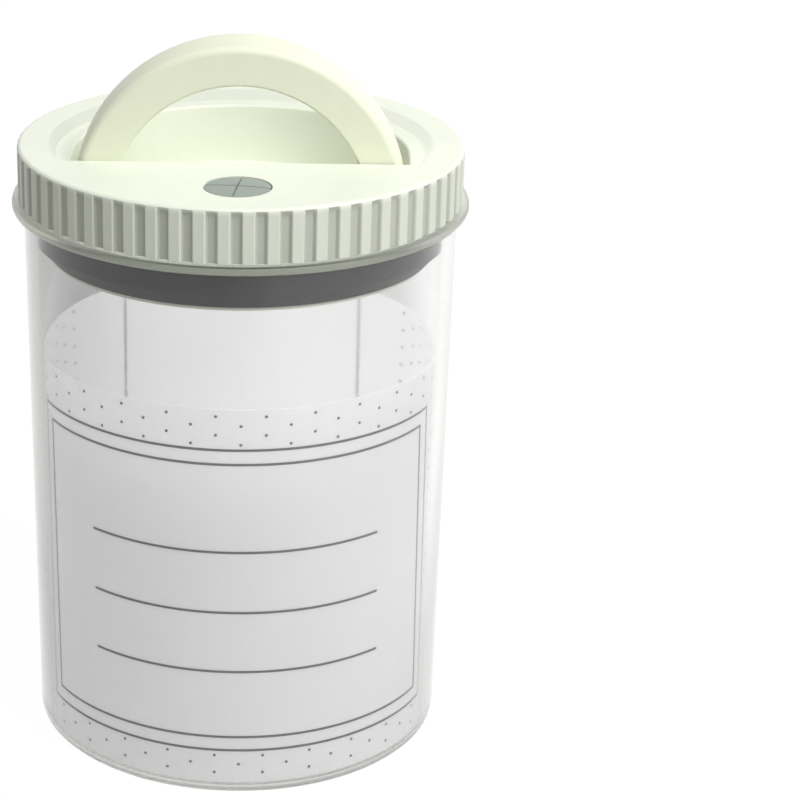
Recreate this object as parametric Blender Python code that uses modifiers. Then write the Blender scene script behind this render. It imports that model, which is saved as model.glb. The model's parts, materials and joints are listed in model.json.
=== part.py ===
"""A clear plastic storage canister with an airtight push-in lid.

The jar is a tapered clear cup with a rim bead. A sheet of paper stands rolled up inside it. The lid
is a ribbed cap whose plug goes down into the jar's mouth, and a silicone ring round the plug seals
against the jar's wall. A handle folds back into a pocket in the lid's top, and a valve button in the
lid's front shelf opens a flap under the plug, to let air out and in.

The origin is the centre of the jar's foot, +Z is up, and the valve side of the lid faces -Y.
"""

import math

import bmesh
import bpy
from mathutils import Matrix, Vector

# Clearances
SEAT_GAP = 0.0003  # between pieces that touch
HANDLE_SIDE_GAP = 0.0005  # between the handle and the pocket's sides
OVERRUN = 0.002  # how far a cutter runs past what it cuts
OVERLAP = 0.0005  # how far pieces of one moulding run into each other

# Jar
JAR_HEIGHT = 0.1429  # foot to the top of the rim bead
JAR_TOP_RADIUS = 0.0546
JAR_NARROWING = 0.0018  # of the radius, from the top down to the foot
JAR_WALL = 0.0031
JAR_FLOOR = 0.0016
JAR_FOOT_RING_WIDTH = 0.0030
JAR_FOOT_RECESS = 0.0006
JAR_FOOT_ROUND = 0.0026
JAR_INNER_ROUND = 0.0005
BEAD_REACH = 0.0029  # past the top of the jar's wall
BEAD_THICKNESS = 0.0021
BEAD_ROUND = 0.0007
LIP_HEIGHT = 0.0103
LIP_WALL = 0.0016

# Paper insert
PAPER_HEIGHT = 0.1025
PAPER_THICKNESS = 0.0003
PAPER_SPAN = math.radians(359.4)  # the sheet's ends nearly meet at the back

# Lid
LID_TOP_ROUND = 0.0011
LID_TOP_THICKNESS = 0.0024
SKIRT_HEIGHT = 0.0136
SKIRT_WALL = 0.0017
RIB_COUNT = 60
RIB_DEPTH = 0.0009
GROOVE_MOUTH_SHARE = 0.58  # share of the ribs' pitch
GROOVE_FLOOR_SHARE = 0.30
GROOVE_TOP_DEPTH = 0.0005  # where a groove begins, below the lid's top
GROOVE_FULL_DEPTH = 0.0015
PLUG_MARGIN = 0.0035  # from the jar's mouth in to the plug
PLUG_WALL = 0.0020
PLUG_BELOW_POCKET = 0.0010  # of the plug's foot, below the pocket's floor
PLUG_FLANGE_GAP = 0.0006  # between the flange above the seal and the jar's wall
PLUG_FLANGE_RISE = 0.0023  # of the flange's foot, above the plug's foot
PLUG_FLANGE_THICKNESS = 0.0022
PLUG_FLANGE_SLOPE = 0.0010

# Stepped pocket in the lid's top
SHELF_EDGE_SHARE = 0.341  # share of the lid's radius, forward to the front shelf's straight edge
LEDGE_MARGIN = 0.0079  # from the ribs in to the shallow step
LEDGE_SLOPE = 0.0017  # the run of the step's sloping riser
LEDGE_DEPTH = 0.0026
LEDGE_WIDTH = 0.0045  # from the riser's foot in to the pocket
POCKET_DEPTH = 0.0186
POCKET_FRONT_STEP = 0.0002  # from the front shelf's straight edge back to the pocket's front wall
POCKET_RIM_ROUND = 0.0008
POCKET_FLOOR_ROUND = 0.0008
POCKET_CORNER_ROUND = 0.0015
POCKET_WALL = 0.0020
POCKET_FLOOR = 0.0016
POCKET_CHAMFER = 0.0016  # outside, under its walls

# Handle
HANDLE_BAND = 0.0100
HANDLE_WIDTH = 0.0149
HANDLE_AXIS_RISE = 0.0060  # above the pocket's floor
HANDLE_OUTER_ROUND = 0.0020
HANDLE_INNER_ROUND = 0.0005
PIN_RADIUS = 0.0020
PIN_REACH = 0.0055  # into each foot of the handle
PIN_RECESS = 0.0005  # below the plug's outer face
PIN_BOSS_RADIUS = 0.0038
PIN_BOSS_INSET = 0.0002  # from the plug's inner face at its widest

# Valve
VALVE_MARGIN = 0.0175  # from the ribs at the front in to the button's middle
BUTTON_RADIUS = 0.00805
BUTTON_THICKNESS = 0.0018
BUTTON_DOME = 0.0003
BUTTON_TRAVEL = 0.0012
BUTTON_EDGE_ROUND = 0.0003
SLIT_WIDTH = 0.00045
SLIT_DEPTH = 0.0006
SLIT_TURN = math.radians(-8)
NOTCH_RADIUS = 0.0009
WELL_BOSS_RADIUS = 0.0093
WELL_BOSS_DEPTH = 0.0063
HUB_RADIUS = 0.0037
HUB_LENGTH = 0.0039
SOCKET_ROOF = 0.0006
STEM_RADIUS = 0.0022
STEM_FOOT_RADIUS = 0.0034
STEM_FOOT_THICKNESS = 0.0010
FLAP_RADIUS = 0.0058
FLAP_THICKNESS = 0.0014
FLAP_EDGE_THICKNESS = 0.0006
VENT_RADIUS = 0.0033

# Seal and its retainer
SEAL_NECK_STEP = 0.0014  # from the plug in to the neck under it
SEAL_HEIGHT = 0.0089
SEAL_UPRIGHT = 0.0051
SEAL_FOOT_WALL = 0.0016
SEAL_TOP_ROUND = 0.0005
RETAINER_WALL = 0.0018
RETAINER_FLOOR = 0.0016
RETAINER_FLANGE = 0.0008
RETAINER_EDGE_INSET = 0.0006  # from the seal's foot
POST_RADIUS = 0.0040
POST_CIRCLE_SHARE = 0.60  # share of the neck's radius
POST_COUNT = 3
RECESS_RADIUS = 0.0066
RECESS_WALL = 0.0012
RECESS_ROOF = 0.0016
RECESS_ROOF_DEPTH = 0.0008  # of the roof's top, below the retainer's top

# Colours
CLEAR = (0.93, 0.94, 0.93)
PAPER = (0.88, 0.88, 0.88)
IVORY = (0.86, 0.87, 0.76)
DARK_GREY = (0.07, 0.07, 0.08)
GREY = (0.30, 0.33, 0.31)
STEEL = (0.62, 0.62, 0.61)

# Round steps
LID_STEPS = RIB_COUNT
JAR_STEPS = 72
SEAL_STEPS = 60
RETAINER_STEPS = 48
SMALL_STEPS = 28
PAPER_STEPS = 72
ARCH_STEPS = 36
CORNER_STEPS = 3
FOOT_STEPS = 6
FOOT_FRONT_END = 195  # degrees round the handle's axis, where an arc runs out into its tangent
FOOT_BACK_END = 345
SHARP_ANGLE = math.radians(32)
MERGE_DISTANCE = 0.00001

# Heights above the foot that follow from the sizes above
SKIRT_FOOT = JAR_HEIGHT + SEAT_GAP
LID_TOP = SKIRT_FOOT + SKIRT_HEIGHT
POCKET_FLOOR_HEIGHT = LID_TOP - POCKET_DEPTH
HANDLE_AXIS_HEIGHT = POCKET_FLOOR_HEIGHT + HANDLE_AXIS_RISE
PLUG_FOOT = POCKET_FLOOR_HEIGHT - PLUG_BELOW_POCKET
FLANGE_FOOT = PLUG_FOOT + PLUG_FLANGE_RISE
SEAL_TOP = FLANGE_FOOT - SEAT_GAP
SEAL_FOOT = SEAL_TOP - SEAL_HEIGHT
RETAINER_TOP = POCKET_FLOOR_HEIGHT - POCKET_FLOOR - SEAT_GAP
RETAINER_FLANGE_TOP = SEAL_FOOT - SEAT_GAP
RETAINER_FOOT = RETAINER_FLANGE_TOP - RETAINER_FLANGE
ROOF_TOP = RETAINER_TOP - RECESS_ROOF_DEPTH
ROOF_FOOT = ROOF_TOP - RECESS_ROOF

# Radii and lengths that follow
JAR_FOOT_RADIUS = JAR_TOP_RADIUS - JAR_NARROWING
JAR_TAPER = JAR_NARROWING / JAR_HEIGHT
BEAD_RADIUS = JAR_TOP_RADIUS + BEAD_REACH
MOUTH_RADIUS = JAR_TOP_RADIUS - JAR_WALL
LIP_RADIUS = MOUTH_RADIUS + LIP_WALL
SKIRT_INNER_RADIUS = LIP_RADIUS + SEAT_GAP
GROOVE_FLOOR_RADIUS = SKIRT_INNER_RADIUS + SKIRT_WALL
LID_RADIUS = GROOVE_FLOOR_RADIUS + RIB_DEPTH
PLUG_RADIUS = MOUTH_RADIUS - PLUG_MARGIN
CAVITY_RADIUS = PLUG_RADIUS - PLUG_WALL
SEAL_NECK_RADIUS = PLUG_RADIUS - SEAL_NECK_STEP
SEAL_FOOT_RADIUS = SEAL_NECK_RADIUS + SEAL_FOOT_WALL
RETAINER_EDGE_RADIUS = SEAL_FOOT_RADIUS - RETAINER_EDGE_INSET
POST_CIRCLE = POST_CIRCLE_SHARE * SEAL_NECK_RADIUS
LEDGE_TOP_RADIUS = LID_RADIUS - LEDGE_MARGIN
LEDGE_FOOT_RADIUS = LEDGE_TOP_RADIUS - LEDGE_SLOPE
POCKET_RADIUS = LEDGE_FOOT_RADIUS - LEDGE_WIDTH
SHELF_EDGE = SHELF_EDGE_SHARE * LID_RADIUS
VALVE_FORWARD = LID_RADIUS - VALVE_MARGIN
WELL_RADIUS = BUTTON_RADIUS + SEAT_GAP
WELL_DEPTH = BUTTON_THICKNESS + BUTTON_TRAVEL + SEAT_GAP
POCKET_FRONT = SHELF_EDGE - POCKET_FRONT_STEP
HANDLE_OUTER_RADIUS = POCKET_RADIUS - HANDLE_SIDE_GAP
HANDLE_FRONT = SEAT_GAP - POCKET_FRONT
HANDLE_BACK_REACH = HANDLE_AXIS_RISE - SEAT_GAP
HANDLE_AXIS_Y = HANDLE_FRONT + HANDLE_WIDTH - HANDLE_BACK_REACH
HANDLE_FRONT_REACH = HANDLE_AXIS_Y - HANDLE_FRONT
RIB_PITCH = 2 * math.pi * LID_RADIUS / RIB_COUNT


def jar_outer_radius(height):
    """Radius of the jar's outer wall at a height above the foot."""
    return JAR_FOOT_RADIUS + JAR_TAPER * height


def jar_inner_radius(height):
    """Radius of the jar's inner wall at a height above the foot."""
    return jar_outer_radius(height) - JAR_WALL


def clear_scene():
    """Removes what the scene holds and returns the collections for the parts and the cutters."""
    for obj in list(bpy.data.objects):
        bpy.data.objects.remove(obj)
    for collection in list(bpy.data.collections):
        bpy.data.collections.remove(collection)
    parts = bpy.data.collections.new("AirtightContainer")
    cutters = bpy.data.collections.new("Cutters")
    bpy.context.scene.collection.children.link(parts)
    bpy.context.scene.collection.children.link(cutters)
    return parts, cutters


def make_material(name, colour, roughness, metallic=0.0, transmission=0.0):
    """A Principled BSDF material."""
    material = bpy.data.materials.new(name)
    material.use_nodes = True
    shader = material.node_tree.nodes["Principled BSDF"]
    shader.inputs["Base Color"].default_value = (*colour, 1.0)
    shader.inputs["Roughness"].default_value = roughness
    shader.inputs["Metallic"].default_value = metallic
    shader.inputs["Transmission Weight"].default_value = transmission
    material.diffuse_color = (*colour, 1.0 - transmission / 2)
    return material


def arc(centre_x, centre_y, radius_x, start, end, steps, radius_y=None):
    """Points of an arc from one angle to another, in degrees, both ends included."""
    radius_y = radius_x if radius_y is None else radius_y
    angles = [math.radians(start + (end - start) * i / steps) for i in range(steps + 1)]
    return [(centre_x + radius_x * math.cos(a), centre_y + radius_y * math.sin(a)) for a in angles]


def add_object(name, mesh, collection, material=None):
    """An object on this mesh, in this collection."""
    obj = bpy.data.objects.new(name, mesh)
    collection.objects.link(obj)
    if material:
        mesh.materials.append(material)
    return obj


def add_cutter(name, mesh, collection):
    """A helper that shapes a part and isn't one itself."""
    obj = add_object(name, mesh, collection)
    obj.hide_render = True
    obj.display_type = "WIRE"
    return obj


def profile_mesh(name, points, closed):
    """A mesh of edges through (radius, height) points, for a Screw modifier."""
    mesh = bpy.data.meshes.new(name)
    corners = [(radius, 0, height) for radius, height in points]
    count = len(corners)
    edges = [(i, (i + 1) % count) for i in range(count if closed else count - 1)]
    mesh.from_pydata(corners, edges, [])
    return mesh


def turn(obj, steps, angle=2 * math.pi):
    """Turns an object's profile round Z."""
    screw = obj.modifiers.new("Turned", "SCREW")
    screw.axis = "Z"
    screw.angle = angle
    screw.steps = steps
    screw.render_steps = steps
    screw.use_merge_vertices = angle == 2 * math.pi
    screw.merge_threshold = MERGE_DISTANCE
    screw.use_smooth_shade = True
    return screw


def loft_mesh(name, rings):
    """A closed mesh through rings of 3-D points that match one to one, capped at both ends."""
    shape = bmesh.new()
    loops = [[shape.verts.new(point) for point in ring] for ring in rings]
    count = len(loops[0])
    for low, high in zip(loops, loops[1:]):
        for i in range(count):
            j = (i + 1) % count
            shape.faces.new((low[i], low[j], high[j], high[i]))
    shape.faces.new(loops[0][::-1])
    shape.faces.new(loops[-1])
    bmesh.ops.recalc_face_normals(shape, faces=shape.faces)
    mesh = bpy.data.meshes.new(name)
    shape.to_mesh(mesh)
    shape.free()
    return mesh


def at_height(outline, height):
    """A flat outline's points at this height."""
    return [Vector((x, y, height)) for x, y in outline]


def cylinder_mesh(name, radius, length, matrix, segments=SMALL_STEPS):
    """A cylinder along its own Z, centred on the matrix."""
    shape = bmesh.new()
    bmesh.ops.create_cone(
        shape, cap_ends=True, segments=segments, radius1=radius, radius2=radius, depth=length, matrix=matrix
    )
    mesh = bpy.data.meshes.new(name)
    shape.to_mesh(mesh)
    shape.free()
    return mesh


def upright_cylinder(name, radius, x, y, low, high):
    """A cylinder along Z between two heights."""
    middle = Matrix.Translation((x, y, (low + high) / 2))
    return cylinder_mesh(name, radius, high - low, middle)


def crosswise_cylinder(name, radius, start, end):
    """A cylinder along X on the handle's axis, from one x to another."""
    centre = Vector(((start + end) / 2, HANDLE_AXIS_Y, HANDLE_AXIS_HEIGHT))
    along_x = Matrix.Translation(centre) @ Matrix.Rotation(math.radians(90), 4, "Y")
    return cylinder_mesh(name, radius, abs(end - start), along_x)


def boolean(target, operation, other):
    """Cuts the other object from the target, joins it, or keeps what they share."""
    modifier = target.modifiers.new(f"{operation.title()} {other.name}", "BOOLEAN")
    modifier.operation = operation
    modifier.solver = "EXACT"
    modifier.object = other


def settle(obj):
    """Applies an object's modifiers and shades it smooth between its sharp edges."""
    evaluated = obj.evaluated_get(bpy.context.evaluated_depsgraph_get())
    mesh = bpy.data.meshes.new_from_object(evaluated)
    mesh.name = obj.name
    obj.modifiers.clear()
    obj.data = mesh
    mesh.shade_smooth()
    mesh.set_sharp_from_angle(angle=SHARP_ANGLE)


def build_jar(parts):
    """The clear cup: a turned wall with a foot ring, a rim bead and a thin upright lip."""
    material = make_material("jar_clear", CLEAR, 0.08, transmission=0.95)
    bead_foot = JAR_HEIGHT - BEAD_THICKNESS
    lip_top = JAR_HEIGHT + LIP_HEIGHT
    floor_top = JAR_FOOT_RECESS + JAR_FLOOR
    inner_round_x = jar_inner_radius(floor_top + JAR_INNER_ROUND) - JAR_INNER_ROUND
    foot_round_x = jar_outer_radius(JAR_FOOT_ROUND) - JAR_FOOT_ROUND
    recess_edge = foot_round_x - JAR_FOOT_RING_WIDTH
    bead_round_x = BEAD_RADIUS - BEAD_ROUND
    profile = [(0, floor_top)]
    profile += arc(inner_round_x, floor_top + JAR_INNER_ROUND, JAR_INNER_ROUND, -90, 0, CORNER_STEPS)
    profile += [(MOUTH_RADIUS, JAR_HEIGHT)]
    profile += [(MOUTH_RADIUS, lip_top - LIP_WALL / 2)]
    profile += arc(MOUTH_RADIUS + LIP_WALL / 2, lip_top - LIP_WALL / 2, LIP_WALL / 2, 135, 0, CORNER_STEPS)
    profile += [(LIP_RADIUS, JAR_HEIGHT)]
    profile += arc(bead_round_x, JAR_HEIGHT - BEAD_ROUND, BEAD_ROUND, 90, 0, CORNER_STEPS - 1)
    profile += arc(bead_round_x, bead_foot + BEAD_ROUND, BEAD_ROUND, 0, -90, CORNER_STEPS - 1)
    profile += [(jar_outer_radius(bead_foot), bead_foot)]
    profile += arc(foot_round_x, JAR_FOOT_ROUND, JAR_FOOT_ROUND, 0, -90, CORNER_STEPS)
    profile += [(recess_edge, 0)]
    profile += [(recess_edge - JAR_FOOT_RECESS, JAR_FOOT_RECESS)]
    profile += [(0, JAR_FOOT_RECESS)]
    jar = add_object("jar_body", profile_mesh("jar_body", profile, closed=False), parts, material)
    turn(jar, JAR_STEPS)
    settle(jar)


def build_label(parts):
    """The sheet of paper, rolled up against the inside of the jar's wall."""
    material = make_material("label_paper", PAPER, 0.75)
    foot = JAR_FOOT_RECESS + JAR_FLOOR + SEAT_GAP
    top = foot + PAPER_HEIGHT
    profile = [(jar_inner_radius(height) - SEAT_GAP - PAPER_THICKNESS, height) for height in (top, foot)]
    label = add_object("label_insert", profile_mesh("label_insert", profile, closed=False), parts, material)
    turn(label, PAPER_STEPS, PAPER_SPAN)
    sheet = label.modifiers.new("Paper", "SOLIDIFY")
    sheet.thickness = PAPER_THICKNESS
    sheet.offset = 1
    label.rotation_euler.z = math.radians(90) + (2 * math.pi - PAPER_SPAN) / 2
    settle(label)


def lid_profile():
    """The lid's turned section: top, skirt and plug, open below."""
    edge_x = LID_RADIUS - LID_TOP_ROUND
    flange_radius = jar_inner_radius(FLANGE_FOOT) - PLUG_FLANGE_GAP
    flange_top = FLANGE_FOOT + PLUG_FLANGE_THICKNESS
    top_foot = LID_TOP - LID_TOP_THICKNESS
    profile = [(0, LID_TOP)]
    profile += arc(edge_x, LID_TOP - LID_TOP_ROUND, LID_TOP_ROUND, 90, 0, CORNER_STEPS)
    profile += [(LID_RADIUS, SKIRT_FOOT)]
    profile += [(SKIRT_INNER_RADIUS, SKIRT_FOOT)]
    profile += [(SKIRT_INNER_RADIUS, top_foot)]
    profile += [(PLUG_RADIUS, top_foot)]
    profile += [(PLUG_RADIUS, flange_top + PLUG_FLANGE_SLOPE)]
    profile += [(flange_radius, flange_top)]
    profile += [(flange_radius, FLANGE_FOOT)]
    profile += [(PLUG_RADIUS, FLANGE_FOOT)]
    profile += [(PLUG_RADIUS, PLUG_FOOT)]
    profile += [(CAVITY_RADIUS, PLUG_FOOT)]
    profile += [(CAVITY_RADIUS, top_foot)]
    profile += [(0, top_foot)]
    return profile


def pocket_outline(grow=0.0, grow_front=0.0):
    """The pocket seen from above: a half circle behind, straight sides and a straight front."""
    radius = POCKET_RADIUS + grow
    corner_x = POCKET_RADIUS - POCKET_CORNER_ROUND
    corner_y = POCKET_CORNER_ROUND - POCKET_FRONT
    round_x = POCKET_CORNER_ROUND + grow
    round_y = POCKET_CORNER_ROUND + grow_front
    outline = arc(0, 0, radius, 0, 180, ARCH_STEPS)
    outline += arc(-corner_x, corner_y, round_x, 180, 270, CORNER_STEPS, round_y)
    outline += arc(corner_x, corner_y, round_x, 270, 360, CORNER_STEPS, round_y)
    return outline


def ledge_outline(radius, front=SHELF_EDGE):
    """The shallow step seen from above: a circle cut off by the front shelf's straight edge."""
    cut = math.degrees(math.asin(front / radius))
    first = cut / (CORNER_STEPS + 1)
    outline = arc(0, 0, radius, 0, 180, ARCH_STEPS)
    outline += arc(0, 0, radius, 180 + first, 180 + cut, CORNER_STEPS)
    outline += arc(0, 0, radius, 360 - cut, 360 - first, CORNER_STEPS)
    return outline


def pocket_cutter(cutters):
    """The shallow step with its sloping riser, and the deep pocket with a rounded rim and floor."""
    ledge_height = LID_TOP - LEDGE_DEPTH
    rings = [
        at_height(ledge_outline(LEDGE_TOP_RADIUS), LID_TOP + OVERRUN),
        at_height(ledge_outline(LEDGE_TOP_RADIUS), LID_TOP),
        at_height(ledge_outline(LEDGE_FOOT_RADIUS), ledge_height),
    ]
    for x, z in arc(POCKET_RIM_ROUND, -POCKET_RIM_ROUND, POCKET_RIM_ROUND, 90, 180, CORNER_STEPS):
        rings.append(at_height(pocket_outline(x), ledge_height + z))
    for x, z in arc(-POCKET_FLOOR_ROUND, POCKET_FLOOR_ROUND, POCKET_FLOOR_ROUND, 0, -90, CORNER_STEPS):
        rings.append(at_height(pocket_outline(x), POCKET_FLOOR_HEIGHT + z))
    return add_cutter("cut_pocket", loft_mesh("cut_pocket", rings), cutters)


def tub_joiner(cutters, top):
    """The pocket's walls and floor from outside, with a chamfer under the walls."""
    foot = POCKET_FLOOR_HEIGHT - POCKET_FLOOR
    foot_grow = POCKET_WALL - POCKET_CHAMFER
    rings = [
        at_height(pocket_outline(foot_grow, foot_grow), foot),
        at_height(pocket_outline(POCKET_WALL, POCKET_WALL), foot + POCKET_CHAMFER),
        at_height(pocket_outline(POCKET_WALL, POCKET_WALL), top),
    ]
    return add_cutter("join_tub", loft_mesh("join_tub", rings), cutters)


def ledge_joiner(cutters, top):
    """The plate under the shallow step, which reaches into the plug's wall and the pocket's."""
    outline = ledge_outline(PLUG_RADIUS - PLUG_WALL / 2, SHELF_EDGE + POCKET_WALL / 2)
    rings = [at_height(outline, height) for height in (LID_TOP - LEDGE_DEPTH - POCKET_WALL, top)]
    return add_cutter("join_ledge", loft_mesh("join_ledge", rings), cutters)


def groove_cutter(cutters):
    """The grooves between the ribs: tapered troughs that run out near the lid's top."""
    reach = LID_RADIUS + OVERRUN
    flare = (GROOVE_MOUTH_SHARE - GROOVE_FLOOR_SHARE) * RIB_PITCH / 2 / RIB_DEPTH
    shape = bmesh.new()
    for i in range(RIB_COUNT):
        turned = Matrix.Rotation(2 * math.pi * i / RIB_COUNT, 4, "Z")
        loops = []
        levels = (
            (SKIRT_FOOT - OVERRUN, GROOVE_FLOOR_RADIUS),
            (LID_TOP - GROOVE_FULL_DEPTH, GROOVE_FLOOR_RADIUS),
            (LID_TOP - GROOVE_TOP_DEPTH, LID_RADIUS),
        )
        for height, floor in levels:
            half_floor = GROOVE_FLOOR_SHARE * RIB_PITCH / 2 + flare * (floor - GROOVE_FLOOR_RADIUS)
            half_mouth = half_floor + flare * (reach - floor)
            corners = ((floor, -half_floor), (reach, -half_mouth), (reach, half_mouth), (floor, half_floor))
            loops.append([shape.verts.new(turned @ Vector((x, y, height))) for x, y in corners])
        for low, high in zip(loops, loops[1:]):
            for a in range(len(low)):
                b = (a + 1) % len(low)
                shape.faces.new((low[a], low[b], high[b], high[a]))
        shape.faces.new(loops[0][::-1])
        shape.faces.new(loops[-1])
    bmesh.ops.recalc_face_normals(shape, faces=shape.faces)
    mesh = bpy.data.meshes.new("cut_grooves")
    shape.to_mesh(mesh)
    shape.free()
    return add_cutter("cut_grooves", mesh, cutters)


def build_lid(parts, cutters):
    """The lid: a turned cap with ribs, a stepped pocket hung inside its plug and a valve well."""
    material = make_material("lid_ivory", IVORY, 0.38)
    lid = add_object("lid_shell", profile_mesh("lid_shell", lid_profile(), closed=False), parts, material)
    turn(lid, LID_STEPS)

    roof = LID_TOP - LID_TOP_THICKNESS
    boolean(lid, "UNION", ledge_joiner(cutters, roof + OVERLAP))
    boolean(lid, "UNION", tub_joiner(cutters, roof + OVERLAP))

    well_foot = LID_TOP - WELL_BOSS_DEPTH
    boss = upright_cylinder("join_well", WELL_BOSS_RADIUS, 0, -VALVE_FORWARD, well_foot, roof + OVERLAP)
    boolean(lid, "UNION", add_cutter("join_well", boss, cutters))

    for side, sign in (("left", -1), ("right", 1)):
        start = sign * (POCKET_RADIUS + POCKET_WALL / 2)
        end = sign * (CAVITY_RADIUS - PIN_BOSS_INSET)
        boss = crosswise_cylinder(f"join_pin_{side}", PIN_BOSS_RADIUS, start, end)
        boolean(lid, "UNION", add_cutter(f"join_pin_{side}", boss, cutters))

    boolean(lid, "DIFFERENCE", pocket_cutter(cutters))

    well = upright_cylinder("cut_well", WELL_RADIUS, 0, -VALVE_FORWARD, LID_TOP - WELL_DEPTH, LID_TOP + OVERRUN)
    boolean(lid, "DIFFERENCE", add_cutter("cut_well", well, cutters))
    guide = upright_cylinder(
        "cut_guide", HUB_RADIUS + SEAT_GAP, 0, -VALVE_FORWARD, well_foot - OVERRUN, LID_TOP - WELL_DEPTH / 2
    )
    boolean(lid, "DIFFERENCE", add_cutter("cut_guide", guide, cutters))

    for side, sign in (("left", -1), ("right", 1)):
        bore = crosswise_cylinder(
            f"cut_pin_{side}", PIN_RADIUS + SEAT_GAP, sign * (POCKET_RADIUS - OVERRUN), sign * (PLUG_RADIUS + OVERRUN)
        )
        boolean(lid, "DIFFERENCE", add_cutter(f"cut_pin_{side}", bore, cutters))

    boolean(lid, "DIFFERENCE", groove_cutter(cutters))
    settle(lid)


def build_seal(parts):
    """The silicone ring: upright above, where it meets the jar's wall, and tapered below.

    It hangs from the plug's flange, and steps inward under the plug's wall.
    """
    material = make_material("seal_silicone", DARK_GREY, 0.55)
    outer = jar_inner_radius(SEAL_TOP - SEAL_UPRIGHT) - SEAT_GAP
    upper_inner = PLUG_RADIUS + SEAT_GAP
    lower_inner = SEAL_NECK_RADIUS + SEAT_GAP
    step_height = PLUG_FOOT - SEAT_GAP
    profile = [(upper_inner, SEAL_TOP)]
    profile += arc(outer - SEAL_TOP_ROUND, SEAL_TOP - SEAL_TOP_ROUND, SEAL_TOP_ROUND, 90, 0, 2)
    profile += [(outer, SEAL_TOP - SEAL_UPRIGHT)]
    profile += [(SEAL_FOOT_RADIUS, SEAL_FOOT)]
    profile += [(lower_inner, SEAL_FOOT)]
    profile += [(lower_inner, step_height)]
    profile += [(upper_inner, step_height)]
    seal = add_object("seal_ring", profile_mesh("seal_ring", profile, closed=True), parts, material)
    turn(seal, SEAL_STEPS)
    settle(seal)


def build_retainer(parts, cutters):
    """The cup that closes the lid's underside: its collar carries the seal and its flange holds it up."""
    material = make_material("retainer_ivory", IVORY, 0.42)
    floor_top = RETAINER_FOOT + RETAINER_FLOOR
    inner = SEAL_NECK_RADIUS - RETAINER_WALL
    profile = [(0, floor_top)]
    profile += [(inner, floor_top)]
    profile += [(inner, RETAINER_TOP)]
    profile += [(SEAL_NECK_RADIUS, RETAINER_TOP)]
    profile += [(SEAL_NECK_RADIUS, RETAINER_FLANGE_TOP)]
    profile += [(RETAINER_EDGE_RADIUS, RETAINER_FLANGE_TOP)]
    profile += [(RETAINER_EDGE_RADIUS, RETAINER_FOOT)]
    profile += [(0, RETAINER_FOOT)]
    cup = add_object("seal_retainer", profile_mesh("seal_retainer", profile, closed=False), parts, material)
    turn(cup, RETAINER_STEPS)
    y = -VALVE_FORWARD
    boss = upright_cylinder("join_recess", RECESS_RADIUS + RECESS_WALL, 0, y, floor_top - OVERLAP, ROOF_TOP)
    boolean(cup, "UNION", add_cutter("join_recess", boss, cutters))
    for i in range(POST_COUNT):
        post_angle = math.radians(90) + 2 * math.pi * i / POST_COUNT
        post_x = POST_CIRCLE * math.cos(post_angle)
        post_y = POST_CIRCLE * math.sin(post_angle)
        post = upright_cylinder(f"join_post_{i}", POST_RADIUS, post_x, post_y, floor_top - OVERLAP, RETAINER_TOP)
        boolean(cup, "UNION", add_cutter(f"join_post_{i}", post, cutters))
    recess = upright_cylinder("cut_recess", RECESS_RADIUS, 0, y, RETAINER_FOOT - OVERRUN, ROOF_FOOT)
    boolean(cup, "DIFFERENCE", add_cutter("cut_recess", recess, cutters))
    vent = upright_cylinder("cut_vent", VENT_RADIUS, 0, y, ROOF_FOOT - OVERRUN / 2, ROOF_TOP + OVERRUN)
    boolean(cup, "DIFFERENCE", add_cutter("cut_vent", vent, cutters))
    settle(cup)


def handle_section():
    """The arch's section as (outward, across): thick, with wide rounds outside and small ones inside."""
    half_band = HANDLE_BAND / 2
    half_width = HANDLE_WIDTH / 2
    outer_x = half_band - HANDLE_OUTER_ROUND
    inner_x = half_band - HANDLE_INNER_ROUND
    outer_y = half_width - HANDLE_OUTER_ROUND
    inner_y = half_width - HANDLE_INNER_ROUND
    points = arc(outer_x, outer_y, HANDLE_OUTER_ROUND, 0, 90, CORNER_STEPS)
    points += arc(-inner_x, inner_y, HANDLE_INNER_ROUND, 90, 180, 1)
    points += arc(-inner_x, -inner_y, HANDLE_INNER_ROUND, 180, 270, 1)
    points += arc(outer_x, -outer_y, HANDLE_OUTER_ROUND, 270, 360, CORNER_STEPS)
    return [(out, across, 0) for out, across in points]


def handle_path():
    """The middle of the handle's band, about its axis: a leg, a half circle and a leg."""
    radius = HANDLE_OUTER_RADIUS - HANDLE_BAND / 2
    middle_y = HANDLE_WIDTH / 2 - HANDLE_FRONT_REACH
    path = [(radius, -HANDLE_FRONT_REACH)]
    path += arc(0, 0, radius, 0, 180, ARCH_STEPS)
    path += [(-radius, -HANDLE_FRONT_REACH)]
    return [(x, middle_y, height) for x, height in path]


def foot_side(reach, end):
    """Half of a foot's underside, as (y, height): an arc, then its tangent out past the handle's face."""
    points = arc(HANDLE_AXIS_Y, HANDLE_AXIS_HEIGHT, reach, 270, end, FOOT_STEPS, HANDLE_BACK_REACH)
    angle = math.radians(end)
    slope = -HANDLE_BACK_REACH / (reach * math.tan(angle))
    last_y, last_height = points[-1]
    out_y = HANDLE_AXIS_Y + math.copysign(reach + OVERRUN, math.cos(angle))
    return points + [(out_y, last_height + (out_y - last_y) * slope)]


def foot_outline():
    """The handle seen from its side, as (y, height): flat faces above, and a foot that can turn below."""
    top = HANDLE_AXIS_HEIGHT + HANDLE_OUTER_RADIUS + OVERRUN
    front = foot_side(HANDLE_FRONT_REACH, FOOT_FRONT_END)
    back = foot_side(HANDLE_BACK_REACH, FOOT_BACK_END)
    return [(front[-1][0], top)] + front[::-1] + back[1:] + [(back[-1][0], top)]


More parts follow.
